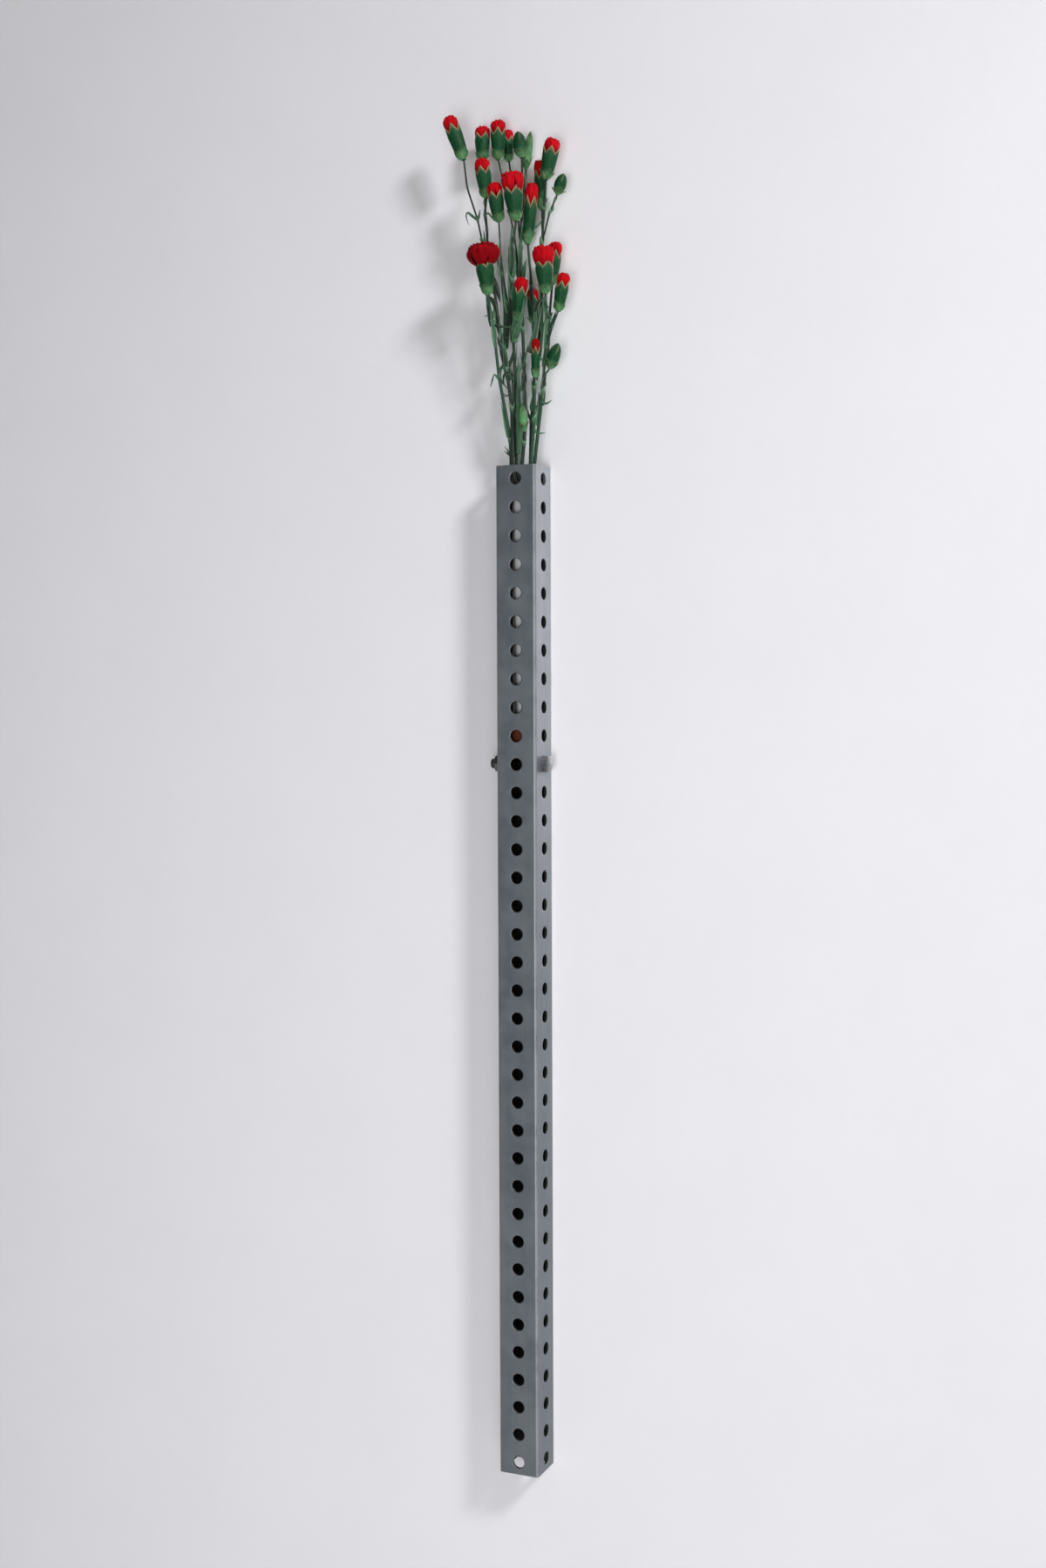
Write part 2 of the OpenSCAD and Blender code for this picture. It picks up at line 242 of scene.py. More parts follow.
# The petals of a flower, layer by layer from the outside. A layer is (number of petals, half of
# a petal's width in degrees, places along a petal's middle, depth of its ruffles). A place is
# (share of the flower's radius, share of the petals' height).
PETAL_LAYERS = (
    (),
    (
        (5, 50, ((0.76, -0.6), (0.9, -0.1), (0.99, 0.4), (0.86, 0.84)), 0.07),
        (4, 62, ((0.55, -0.3), (0.78, 0.2), (0.84, 0.64), (0.58, 1.0)), 0.1),
        (4, 60, ((0.3, -0.1), (0.5, 0.3), (0.52, 0.75), (0.26, 1.02)), 0.14),
    ),
    (
        (5, 50, ((0.6, -0.35), (0.82, 0.0), (1.0, 0.42), (0.95, 0.84)), 0.06),
        (5, 48, ((0.45, -0.2), (0.74, 0.3), (0.88, 0.66), (0.78, 1.0)), 0.08),
        (5, 46, ((0.3, -0.1), (0.56, 0.4), (0.64, 0.76), (0.52, 1.02)), 0.12),
        (4, 60, ((0.12, 0.0), (0.3, 0.5), (0.34, 0.8), (0.2, 0.98)), 0.16),
    ),
    (
        (6, 38, ((0.42, -0.2), (0.8, 0.04), (1.03, 0.36), (1.0, 0.68)), 0.05),
        (6, 38, ((0.38, -0.2), (0.7, 0.22), (0.94, 0.58), (0.86, 0.88)), 0.05),
        (5, 42, ((0.3, -0.1), (0.5, 0.4), (0.7, 0.8), (0.64, 1.0)), 0.07),
        (5, 42, ((0.2, 0.0), (0.32, 0.5), (0.42, 0.85), (0.36, 1.02)), 0.1),
        (4, 50, ((0.08, 0.0), (0.14, 0.5), (0.2, 0.85), (0.14, 0.98)), 0.12),
    ),
)
PETAL_ROWS = 12
PETAL_COLUMNS = 26
PETAL_WAVES = 2.2

# A calyx's radius at shares of its length, as shares of its greatest radius
OPEN_CALYX = ((0, 0.3), (0.025, 0.48), (0.08, 0.66), (0.16, 0.76), (0.3, 0.83), (0.5, 0.91),
    (0.75, 1), (1, 0.97))
SHUT_CALYX = ((0, 0.3), (0.04, 0.5), (0.12, 0.74), (0.24, 0.92), (0.38, 1), (0.55, 0.99), (0.7, 0.9),
    (0.82, 0.72), (0.92, 0.46), (0.98, 0.22), (1, 0.06))
MOUTH_FLARE = (1, 1, 1.15, 1.17)
CALYX_COLUMNS = 60
CALYX_ROWS = 22
TEETH = 5

# The lamps: name, size in m, power in W, degrees to the right of the wall's outward normal,
# distance and height in m, and spread in degrees
LAMPS = (
    ("key", 0.55, 25.5, 54.5, 2.6, 1.95, 120),
    ("side", 2.5, 4, 70, 4, 0.2, 180),
    ("front", 2.5, 28.7, 20, 3.5, 0, 180),
    ("low", 1.4, 9.5, 12, 3, -0.5, 100),
    ("behind", 1.5, 60, 180, 2, 0.6, 180),
)

# The photograph's camera, fitted to the steel tube's edges and holes
CAMERA_PLACE = (0.65969, -1.54722, 0.25434)
CAMERA_ANGLES = (23.399, -2.826, -0.213)
FOCAL_PX = 2118.4
PHOTO_HEIGHT_PX = 1799
SENSOR_HEIGHT = 36


# Meshes

def new_shape():
    """Points, faces and tones of a mesh that is being made. A tone is three numbers for colour."""
    return {"points": [], "faces": [], "tones": []}


def add_grid(shape, rows, tones, closed=False):
    """Joins rows of points into quads, and each row into a ring if closed is true"""
    first = len(shape["points"])
    width = len(rows[0])
    for row, row_tones in zip(rows, tones):
        shape["points"].extend(row)
        shape["tones"].extend(row_tones)
    columns = width if closed else width - 1
    for i in range(len(rows) - 1):
        for j in range(columns):
            a = first + i * width + j
            b = first + i * width + (j + 1) % width
            shape["faces"].append((a, b, b + width, a + width))


def add_cap(shape, row_start, width, flip=False):
    """Closes a ring of points with one face"""
    ring = list(range(row_start, row_start + width))
    shape["faces"].append(tuple(reversed(ring)) if flip else tuple(ring))


def make_piece(name, shape, offset, body, node, surface):
    """Turns a shape in mm into a piece that rides on a body and stands for a node"""
    mesh = bpy.data.meshes.new(name)
    points = [(Vector(p) + Vector(offset)) * MM for p in shape["points"]]
    mesh.from_pydata([tuple(p) for p in points], [], shape["faces"])
    mesh.update()
    tone = mesh.attributes.new("tone", "FLOAT_COLOR", "POINT")
    for datum, value in zip(tone.data, shape["tones"]):
        datum.color = (value[0], value[1], value[2], 1)
    mesh.shade_smooth()
    mesh.materials.append(surface)
    piece = bpy.data.objects.new(name, mesh)
    bpy.context.scene.collection.objects.link(piece)
    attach(piece, body)
    if node:
        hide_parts(node)
    return piece


def thicken(piece, thickness, offset):
    """Gives a sheet its thickness"""
    solid = piece.modifiers.new("thickness", "SOLIDIFY")
    solid.thickness = thickness * MM
    solid.offset = offset
    solid.use_even_offset = False


def on_curve(places, share):
    """The place at a share of the way along a smooth curve through places"""
    last = len(places) - 1
    i = min(int(share * last), last - 1)
    t = share * last - i
    a, b, c, d = (Vector(places[min(max(k, 0), last)]) for k in range(i - 1, i + 3))
    square, cube = 2 * a - 5 * b + 4 * c - d, 3 * b - a - 3 * c + d
    return 0.5 * (2 * b + (c - a) * t + square * t ** 2 + cube * t ** 3)


def soften(places, reach):
    """A line through places whose corners are rounded"""
    places = [Vector(p) for p in places]
    line = [places[0]]
    for before, corner, after in zip(places, places[1:], places[2:]):
        back, ahead = before - corner, after - corner
        cut = min(reach, back.length * 0.45, ahead.length * 0.45)
        start, end = corner + back.normalized() * cut, corner + ahead.normalized() * cut
        for k in range(5):
            t = k / 4
            line.append(start * (1 - t) ** 2 + corner * 2 * t * (1 - t) + end * t ** 2)
    line.append(places[-1])
    return line


def resample(line, step):
    """The same line with places at even steps"""
    lengths = [0]
    for a, b in zip(line, line[1:]):
        lengths.append(lengths[-1] + (b - a).length)
    count = max(3, round(lengths[-1] / step))
    wanted = np.linspace(0, lengths[-1], count + 1)
    columns = [np.interp(wanted, lengths, [p[axis] for p in line]) for axis in range(3)]
    return [Vector(p) for p in zip(*columns)]


def frames_along(line):
    """The place, direction and two cross directions at each place of a line, without twist"""
    side = (line[1] - line[0]).orthogonal().normalized()
    result = []
    for i, place in enumerate(line):
        ahead = (line[min(i + 1, len(line) - 1)] - line[max(i - 1, 0)]).normalized()
        side = (side - ahead * side.dot(ahead)).normalized()
        result.append((place, ahead, side, ahead.cross(side)))
    return result


def head_frame(neck, tip, roll):
    """The frame of a flower: its foot at the neck and its Z along the flower"""
    up = (Vector(tip) - Vector(neck)).normalized()
    side = up.orthogonal().normalized()
    side.rotate(Quaternion(up, roll))
    turned = Matrix((side, up.cross(side), up)).transposed().to_4x4()
    return Matrix.Translation(neck) @ turned


def polar(base, radius, angle, height):
    """A point at a radius, angle and height in a frame"""
    return base @ Vector((radius * math.cos(angle), radius * math.sin(angle), height))


def profile(table, share):
    return float(np.interp(share, [row[0] for row in table], [row[1] for row in table]))


def ramp(low, high, value):
    """0 below low, 1 above high and a smooth step between"""
    t = min(max((value - low) / (high - low), 0), 1)
    return t * t * (3 - 2 * t)


# Stems

def add_stem(shape, places, start_d, end_d, nodes, dusk, rng):
    """A bent stem that swells a little at its nodes"""
    line = resample(soften(places, 5), 1.3)
    sides = 12
    rows, tones = [], []
    grain = [rng.uniform(-0.03, 0.03) for _ in range(sides)]
    own = max(rng.random(), dusk)
    for place, _, side, other in frames_along(line):
        share = min(max(place.z / line[-1].z, 0), 1)
        radius = (start_d + (end_d - start_d) * share ** 1.3) / 2
        swell = 0
        for knot in nodes:
            away = (place - Vector(knot)).length
            swell = max(swell, math.exp(-(away / 1.7) ** 2))
        row = []
        for j in range(sides):
            angle = 2 * math.pi * j / sides
            r = radius * (1 + 0.32 * swell + grain[j])
            row.append(place + (side * math.cos(angle) + other * math.sin(angle)) * r)
        rows.append(row)
        # Painted shade: from 3 mm below the tube's mouth the third number climbs by up to 2, which turns the
        # stem near black by 10 mm down
        tones.append([(place.z / 300, swell, own + 2 * ramp(3, 10, -place.z))] * sides)
    first = len(shape["points"])
    add_grid(shape, rows, tones, closed=True)
    add_cap(shape, first, sides, flip=True)
    add_cap(shape, first + (len(rows) - 1) * sides, sides)


def add_sheath(shape, place, ahead, stem_r, length, rng):
    """The clasping foot of a pair of leaves round a node"""
    base = head_frame(place - ahead * 1.2, place + ahead, rng.uniform(0, math.pi))
    columns, count = 20, 6
    rows, tones = [], []
    for i in range(count + 1):
        share = i / count
        row, row_tones = [], []
        for j in range(columns):
            angle = 2 * math.pi * j / columns
            point = abs(math.cos(angle)) ** 2.2
            height = share * (length * 0.45 + length * 0.75 * point * share)
            radius = stem_r * (1.08 + 0.22 * math.sin(share * math.pi * 0.6)) + point * share ** 3 * 0.5
            row.append(polar(base, radius, angle, height))
            row_tones.append((0.25 + 0.3 * share, 0.6 * share ** 3, rng.random() * 0.1))
        rows.append(row)
        tones.append(row_tones)
    add_grid(shape, rows, tones, closed=True)


def add_leaf(shape, places, width, rng, dusk=0.5):
    """A narrow keeled leaf along a curved middle line. Dusk above 1.1 turns it dark."""
    line = resample([on_curve(places, k / 20) for k in range(21)], 0.8)
    columns = 6
    rows, tones = [], []
    turn = rng.uniform(-0.5, 0.5)
    last = len(line) - 1
    for i, (place, ahead, side, other) in enumerate(frames_along(line)):
        share = i / last
        belly = 0.75 + 0.35 * math.sin(min(share / 0.35, 1) * math.pi / 2)
        half = width / 2 * belly * (1.02 - share ** 2.4)
        spin = turn + 0.6 * share
        across = side * math.cos(spin) + other * math.sin(spin)
        keel = ahead.cross(across)
        row = []
        for j in range(columns + 1):
            u = 2 * j / columns - 1
            row.append(place + across * half * u + keel * half * 0.45 * abs(u))
        rows.append(row)
        tones.append([(0.3 + 0.4 * share, 0.25 * ramp(0.85, 1, abs(2 * j / columns - 1)), dusk)
            for j in range(columns + 1)])
    add_grid(shape, rows, tones)


def add_clasping_leaves(shape, places, rng):
    """Narrow leaves that grow from the lower nodes and stay close to their stem"""
    line = resample(soften(places, 5), 2)
    for i, foot in enumerate(line):
        if foot.z < CLASPING_LOW or foot.z > CLASPING_HIGH or rng.random() > CLASPING_SHARE:
            continue
        count = rng.randint(8, 20)
        way = Vector((rng.uniform(-1, 1), rng.uniform(-1, 0.3), 0)).normalized()
        bend = rng.uniform(1.5, 5)
        part = line[i:i + count]
        if len(part) < 6:
            continue
        blade = [p + way * (1.2 + bend * (k / count) ** 2.5) for k, p in enumerate(part)]
        width = rng.uniform(2.8, 4.8)
        add_leaf(shape, [tuple(p) for p in blade[::2]], width, rng, rng.choice(CLASPING_DUSKS))


# Flowers

def tooth_wave(angle):
    """1 at the point of a calyx tooth and 0 in the notch between two"""
    phase = (angle * TEETH / (2 * math.pi)) % 1
    return 1 - abs(2 * phase - 1)


def add_open_calyx(shape, base, length, radius, flare, rng):
    """A cup of fused sepals with five pointed teeth"""
    rows, tones = [], []
    own = rng.random()
    lean = [rng.uniform(-0.06, 0.1) for _ in range(TEETH)]
    for i in range(CALYX_ROWS + 1):
        share = i / CALYX_ROWS
        row, row_tones = [], []
        for j in range(CALYX_COLUMNS):
            angle = 2 * math.pi * j / CALYX_COLUMNS
            tooth = tooth_wave(angle) ** 0.85
            height = length * share * (0.84 + 0.27 * tooth * share ** 5)
            r = radius * profile(OPEN_CALYX, height / length) * (1 + (flare - 1) * ramp(0.15, 1, share))
            r *= 1 + 0.018 * math.cos(angle * TEETH * 2) * share
            r += radius * lean[int(angle * TEETH / (2 * math.pi)) % TEETH] * tooth * ramp(0.8, 1.05, share)
            row.append(polar(base, r, angle, height))
            margin = ramp(0.93, 1.0, share)
            row_tones.append((height / length, margin, own))
        rows.append(row)
        tones.append(row_tones)
    add_grid(shape, rows, tones, closed=True)


def add_shut_calyx(shape, base, length, radius, deep, rng):
    """A closed bud whose five teeth meet at its tip. Deep is the share of a grown bud's colour."""
    rows, tones = [], []
    own = rng.random()
    twist = rng.uniform(0.2, 0.5)
    for i in range(CALYX_ROWS + 1):
        share = i / CALYX_ROWS
        row, row_tones = [], []
        for j in range(CALYX_COLUMNS):
            angle = 2 * math.pi * j / CALYX_COLUMNS
            seam = (1 - tooth_wave(angle)) ** 7 * ramp(0.5, 0.85, share)
            r = radius * profile(SHUT_CALYX, share) * (1 - 0.16 * seam)
            row.append(polar(base, r, angle + twist * ramp(0.5, 1, share), length * share))
            row_tones.append((share * 0.9 * deep, 0.55 * seam, own))
        rows.append(row)
        tones.append(row_tones)
    first = len(shape["points"])
    add_grid(shape, rows, tones, closed=True)
    add_cap(shape, first + CALYX_ROWS * CALYX_COLUMNS, CALYX_COLUMNS)


def add_bracts(shape, base, length, radius, table, rng):
    """Two pairs of pointed scales that hug the foot of a calyx"""
    columns, count = 10, 10
    turn = rng.uniform(0, math.pi)
    for k in range(4):
        inner = k % 2
        reach = length * (0.3 + 0.07 * inner + rng.uniform(-0.02, 0.03))
        middle = turn + k * math.pi / 2
        own = rng.random()
        rows, tones = [], []
        for i in range(count + 1):
            share = i / count
            half = math.radians(58) * (1 - share ** 2.2) + math.radians(2)
            height = reach * share - 0.8
            row, row_tones = [], []
            for j in range(columns + 1):
                u = 2 * j / columns - 1
                hug = radius * profile(table, max(height, 0) / length)
                r = hug + 0.3 + 0.25 * (1 - inner) + 0.9 * share ** 4 - 0.1 * abs(u)
                row.append(polar(base, r, middle + half * u, height - abs(u) ** 2 * 0.9 * share))
                edge = ramp(0.7, 1, abs(u)) * 0.35
                row_tones.append((0.06 + 0.22 * share, max(edge, ramp(0.85, 1, share) * 0.3), own))
            rows.append(row)
            tones.append(row_tones)
        add_grid(shape, rows, tones)


def add_petal(shape, base, middle, half, spine, radius, height, ruffle, dusk, rng):
    """One petal with folds that run up it and a scalloped edge. Dusk darkens its colour."""
    phase = rng.uniform(0, 2 * math.pi)
    own = rng.random() * 0.6 + dusk
    waves = PETAL_WAVES * rng.uniform(0.8, 1.3)
    reach = rng.uniform(0.9, 1.02)
    wide, lift = rng.uniform(0.95, 1.03), rng.uniform(0.93, 1.03)
    jag = [0.03 * (j % 2) + rng.uniform(0, 0.02) for j in range(PETAL_COLUMNS + 1)]
    rows, tones = [], []
    for i in range(PETAL_ROWS + 1):
        share = i / PETAL_ROWS
        row, row_tones = [], []
        for j in range(PETAL_COLUMNS + 1):
            u = 2 * j / PETAL_COLUMNS - 1
            v = share * (1 - (jag[j] + 0.12 * u ** 4) * share ** 5)
            r, h = on_curve(spine, min(v * reach, 1))
            wave = math.sin(waves * math.pi * u + phase) * ruffle * share ** 1.5
            fine = math.sin(waves * 3.1 * math.pi * u + 2 * phase) * ruffle * 0.25 * share ** 2
            angle = middle + half * u * (0.55 + 0.45 * share) + 0.05 * math.sin(3 * share + phase)
            out = radius * (r * wide + wave + fine)
            up = height * (h * lift + 0.3 * wave * share)
            row.append(polar(base, out, angle, up))
            # The first tone number rises up the petal and with its folds: painted shade at the foot and in
            # fold troughs, painted light on fold crests
            row_tones.append((share + 3 * (wave + fine), ramp(0.93, 1, share), own))
        rows.append(row)
        tones.append(row_tones)
    add_grid(shape, rows, tones)


def add_petals(shape, base, foot, radius, height, kind, rng):
    """All the petals of one flower"""
    lifted = base @ Matrix.Translation((0, 0, foot))
    plain_dusk = YOUNG_DUSK if radius < YOUNG_R else 0
    for count, half, spine, ruffle in PETAL_LAYERS[kind]:
        start = rng.uniform(0, 2 * math.pi)
        for k in range(count):
            middle = start + 2 * math.pi * (k + rng.uniform(-0.16, 0.16)) / count
            spread = math.radians(half * rng.uniform(0.85, 1.15))
            dusk = rng.choice(BLOOM_DUSKS) if kind == OPEN_BLOOM else plain_dusk
            add_petal(shape, lifted, middle, spread, spine, radius, height, ruffle, dusk, rng)


def add_flower(green, red, neck, head, rng):
    """A flower head: its bracts, its calyx and the petals that stand out of it"""
    tip, kind, size = head
    base = head_frame(neck, tip, rng.uniform(0, 2 * math.pi))
    full = (Vector(tip) - Vector(neck)).length
    length = full * GREEN_SHARE[kind]
    radius = CALYX_D * size / 2
    if kind == GREEN_BUD:
        add_shut_calyx(green, base, length, radius, ramp(0.5, 0.8, size), rng)
        add_bracts(green, base, length, radius, SHUT_CALYX, rng)
        return
    add_open_calyx(green, base, length, radius, MOUTH_FLARE[kind], rng)
    add_bracts(green, base, length, radius, OPEN_CALYX, rng)
    add_petals(red, base, length, radius * PETAL_SPREAD[kind], full - length, kind, rng)


def standing_part(angle):
    """The upright part of a main stem, inside the glass"""
    ring = math.radians(angle)
    x, y = STEM_RING_R * math.cos(ring), STEM_RING_R * math.sin(ring)
    return (x, y, STEM_FOOT_Z - TUBE_TOP - STEM_D / 2), (x, y, -RIM_DEPTH)


def grow_spray(number, spray):
    """The shapes of one spray: its stems, leaf sheaths, leaves, calyxes and petals"""
    angle, paths, leaves = spray
    rng = random.Random(number)
    stems, sheaths, blades, cups, petals = (new_shape() for _ in range(5))
    for i, (places, head) in enumerate(paths):
        line, start_d, end_d, stem_r = places, BRANCH_D, BRANCH_D, BRANCH_D / 2
        if i == 0:
            line, start_d, end_d = standing_part(angle) + places, STEM_D, STEM_TOP_D
            stem_r = STEM_D / 2 * 0.9
        add_stem(stems, line, start_d, end_d, places[1:-1], STEM_DUSK[number - 1], rng)
        for before, knot, after in zip(places, places[1:], places[2:]):
            ahead = (Vector(after) - Vector(before)).normalized()
            if rng.random() < SHEATH_SHARE:
                add_sheath(sheaths, Vector(knot), ahead, stem_r, rng.uniform(3.5, 7), rng)
        add_flower(cups, petals, Vector(places[-1]), head, rng)
    for places, width, *dusk in leaves:
        add_leaf(blades, places, width * LEAF_SCALE, rng, *dusk)
    for places, _ in paths:
        add_clasping_leaves(blades, [Vector(p) for p in places], rng)
    return stems, sheaths, blades, cups, petals


def make_spray(number, spray, surfaces):
    """All the pieces of one spray. Thickness 0 is for a piece that is solid already."""
    stems, sheaths, blades, cups, petals = grow_spray(number, spray)
    place = (0, AXIS_Y, TUBE_TOP)
    name = f"spray_{number}_"
    parts = (
        ("stem_and_branches", stems, "stem_green", name + "stem", "stem", 0, 0),
        ("leaf_sheaths", sheaths, "stem_green", None, "leaf", 0.25, 0),
        ("leaves", blades, "stem_green", None, "leaf", 0.35, 0),
        ("calyxes", cups, "stem_green", None, "calyx", 0.3, -1),
        ("ruffled_petals", petals, "petal_red", name + "petals", "petal", 0.22, 0),
    )
    for part, shape, slot, node, surface, thickness, offset in parts:
        piece = make_piece(name + part, shape, place, "bouquet", node, surfaces[surface])
        if thickness:
            thicken(piece, thickness, offset)


# Fasteners

def hex_radius(angle):
    """Distance from the middle to the outline of a hexagon across its flats"""
    turned = (angle + math.pi / 6) % (math.pi / 3) - math.pi / 6
    return HEX_W / 2 / math.cos(turned)


def hex_rings(height, columns, both):
    """Rings of radius and height round a hexagonal prism with chamfered corners, from its foot"""
    angles = [2 * math.pi * j / columns for j in range(columns)]
    flat = HEX_W / 2 * 0.95
    drop = [max(0, hex_radius(a) - flat) * math.tan(math.radians(30)) for a in angles]
    outline = [hex_radius(a) for a in angles]
    foot = [(r, d if both else 0) for r, d in zip(outline, drop)]
    crown = [(r, height - d) for r, d in zip(outline, drop)]
    rings = [[(flat, 0)] * columns] if both else []
    return rings + [foot, crown, [(flat, height)] * columns]


def rings_to_rows(rings, base):
    """Rows of points in a frame from rings of radius and height"""
    columns = len(rings[0])
    return [[polar(base, r, 2 * math.pi * j / columns, h) for j, (r, h) in enumerate(ring)] for ring in rings]


def thread_rings(start, end, pitch, columns, taper):
    """Rings of a screw thread between two heights, tapered at its far end"""
    steps = round((end - start) / pitch * 8)
    outer = BOLT_D / 2
    depth = pitch * 0.6
    rings = []
    for i in range(steps + 1):
        height = start + (end - start) * i / steps
        crest = outer - max(0, height - (end - taper))
        ring = []
        for j in range(columns):
            phase = (height / pitch - j / columns) % 1
            groove = depth * (1 - abs(2 * phase - 1)) * ramp(start, start + 2 * pitch, height)
            ring.append((min(outer - groove, crest), height))
        rings.append(ring)
    return rings


def plain_tones(rows):
    """The same middling tone for every point"""
    return [[(0.5, 0, 0.5)] * len(row) for row in rows]


def make_bolt(surface):
    """A hexagon head bolt with a real thread"""
    shape = new_shape()
    columns = HEX_COLUMNS
    out = Matrix.Translation((TUBE_W / 2, AXIS_Y, BOLT_Z)) @ Matrix.Rotation(math.pi / 2, 4, "Y")
    head = rings_to_rows(hex_rings(HEAD_T, columns, False), out)
    add_grid(shape, head, plain_tones(head), closed=True)
    add_cap(shape, 0, columns, flip=True)
    add_cap(shape, 2 * columns, columns)
    into = Matrix.Translation((TUBE_W / 2, AXIS_Y, BOLT_Z)) @ Matrix.Rotation(-math.pi / 2, 4, "Y")
    thread_start = BOLT_LEN - THREAD_LEN
    shank = [[(BOLT_D / 2, h)] * columns for h in (-1, 0, thread_start)]
    rings = shank + thread_rings(thread_start, BOLT_LEN, THREAD_PITCH, columns, CHAMFER)
    rows = rings_to_rows(rings, into)
    first = len(shape["points"])
    add_grid(shape, rows, plain_tones(rows), closed=True)
    add_cap(shape, first, columns, flip=True)
    add_cap(shape, first + (len(rows) - 1) * columns, columns)
    piece = make_piece("cross_bolt_threaded", shape, (0, 0, 0), "profile",
        "cross_bolt", surface)
    sharpen(piece)


def make_nut(surface):
    """A hexagon nut with countersunk ends"""
    shape = new_shape()
    columns = HEX_COLUMNS
    base = Matrix.Translation((-TUBE_W / 2, AXIS_Y, BOLT_Z)) @ Matrix.Rotation(-math.pi / 2, 4, "Y")
    bore = BOLT_D / 2 + THREAD_GAP
    outer = hex_rings(NUT_T, columns, True)
    sink = 0.7
    steps = ((sink, NUT_T), (0, NUT_T - sink), (0, sink), (sink, 0))
    inner = [[(bore + wider, height)] * columns for wider, height in steps]
    rings = outer + inner + [outer[0]]
    rows = rings_to_rows(rings, base)
    add_grid(shape, rows, plain_tones(rows), closed=True)
    piece = make_piece("hex_nut_chamfered", shape, (0, 0, 0), "profile",
        "hex_nut", surface)
    weld = piece.modifiers.new("weld", "WELD")
    weld.merge_threshold = 0.01 * MM
    sharpen(piece)


def sharpen(piece):
    """Keeps the edges of a turned or milled piece crisp"""
    piece.data.set_sharp_from_angle(angle=math.radians(32))


# Materials

class Nodes:
    """Short ways to build a material's nodes"""

    def __init__(self, name):
        self.material = bpy.data.materials.new(name)
        self.material.use_nodes = True
        self.tree = self.material.node_tree
        self.shader = self.tree.nodes["Principled BSDF"]

    def add(self, kind, **settings):
        node = self.tree.nodes.new(kind)
        for key, value in settings.items():
            setattr(node, key, value)
        return node

    def join(self, source, target):
        self.tree.links.new(source, target)

    def put(self, socket, value):
        """Sets an input socket to a constant or joins it to another node's output"""
        if isinstance(value, bpy.types.NodeSocket):
            self.join(value, socket)
        else:
            socket.default_value = value

    def place(self):
        """Coordinates that are fixed to the object, in metres"""
        return self.add("ShaderNodeTexCoord").outputs["Object"]

    def axes(self):
        """The same coordinates one by one, under X, Y and Z"""
        split = self.add("ShaderNodeSeparateXYZ")
        self.join(self.place(), split.inputs["Vector"])
        return split.outputs

    def noise(self, scale, detail=4, rough=0.5, stretch=None):
        node = self.add("ShaderNodeTexNoise")
        node.inputs["Scale"].default_value = scale
        node.inputs["Detail"].default_value = detail
        node.inputs["Roughness"].default_value = rough
        where = self.place()
        if stretch:
            mapping = self.add("ShaderNodeMapping")
            mapping.inputs["Scale"].default_value = stretch
            self.join(where, mapping.inputs["Vector"])
            where = mapping.outputs["Vector"]
        self.join(where, node.inputs["Vector"])
        return node.outputs["Fac"]

    def math(self, operation, a, b=0.0):
        node = self.add("ShaderNodeMath", operation=operation)
        self.put(node.inputs[0], a)
        self.put(node.inputs[1], b)
        return node.outputs[0]

    def between(self, value, low, high, out_low=0.0, out_high=1.0):
        """Maps a value from low..high to out_low..out_high, smoothly and clamped"""
        node = self.add("ShaderNodeMapRange", interpolation_type="SMOOTHSTEP")
        self.put(node.inputs["Value"], value)
        node.inputs["From Min"].default_value = low
        node.inputs["From Max"].default_value = high
        node.inputs["To Min"].default_value = out_low
        node.inputs["To Max"].default_value = out_high
        return node.outputs["Result"]

    def mix(self, factor, a, b):
        """Mixes two colours"""
        node = self.add("ShaderNodeMix", data_type="RGBA")
        self.put(node.inputs["Factor"], factor)
        for socket, value in ((node.inputs[6], a), (node.inputs[7], b)):
            self.put(socket, (*value, 1) if isinstance(value, tuple) else value)
        return node.outputs[2]

    def tone(self):
        """The three numbers that a piece's points carry"""
        attribute = self.add("ShaderNodeAttribute", attribute_name="tone")
        split = self.add("ShaderNodeSeparateColor")
        self.join(attribute.outputs["Color"], split.inputs["Color"])
        return split.outputs

    def bump(self, height, distance):
        node = self.add("ShaderNodeBump")
        node.inputs["Strength"].default_value = 1
        node.inputs["Distance"].default_value = distance
        self.join(height, node.inputs["Height"])
        self.join(node.outputs["Normal"], self.shader.inputs["Normal"])

    def surface(self, **values):
        """Sets the shader's inputs by name, with _ for a space"""
        for key, value in values.items():
            socket = self.shader.inputs[key.replace("_", " ")]
            self.put(socket, (*value, 1) if isinstance(value, tuple) else value)
        return self.material


def tube_masks(n):
    """Where the tube's surface is inside or in a hole, and what tells its rims, corners and height"""
    axes = n.axes()
    x = axes["X"]
    y = n.math("SUBTRACT", axes["Y"], AXIS_Y * MM)
    rise = n.math("SUBTRACT", axes["Z"], (TUBE_TOP - END_MARGIN) * MM)
    z = n.math("PINGPONG", rise, HOLE_PITCH / 2 * MM)
    z_squared = n.math("POWER", z, 2.0)
    to_y_hole = n.math("SQRT", n.math("ADD", n.math("POWER", n.math("ABSOLUTE", x), 2.0), z_squared))
    to_x_hole = n.math("SQRT", n.math("ADD", n.math("POWER", n.math("ABSOLUTE", y), 2.0), z_squared))
    to_hole = n.math("MINIMUM", to_y_hole, to_x_hole)
    outward = n.math("MAXIMUM", n.math("ABSOLUTE", x), n.math("ABSOLUTE", y))
    corner = n.math("MINIMUM", n.math("ABSOLUTE", x), n.math("ABSOLUTE", y))
    inside = n.math("LESS_THAN", outward, (TUBE_W / 2 - TUBE_WALL + 0.25) * MM)
    in_hole = n.math("LESS_THAN", to_hole, (HOLE_R + 0.05) * MM)
    return n.math("MAXIMUM", inside, in_hole), to_hole, corner, axes["Z"]


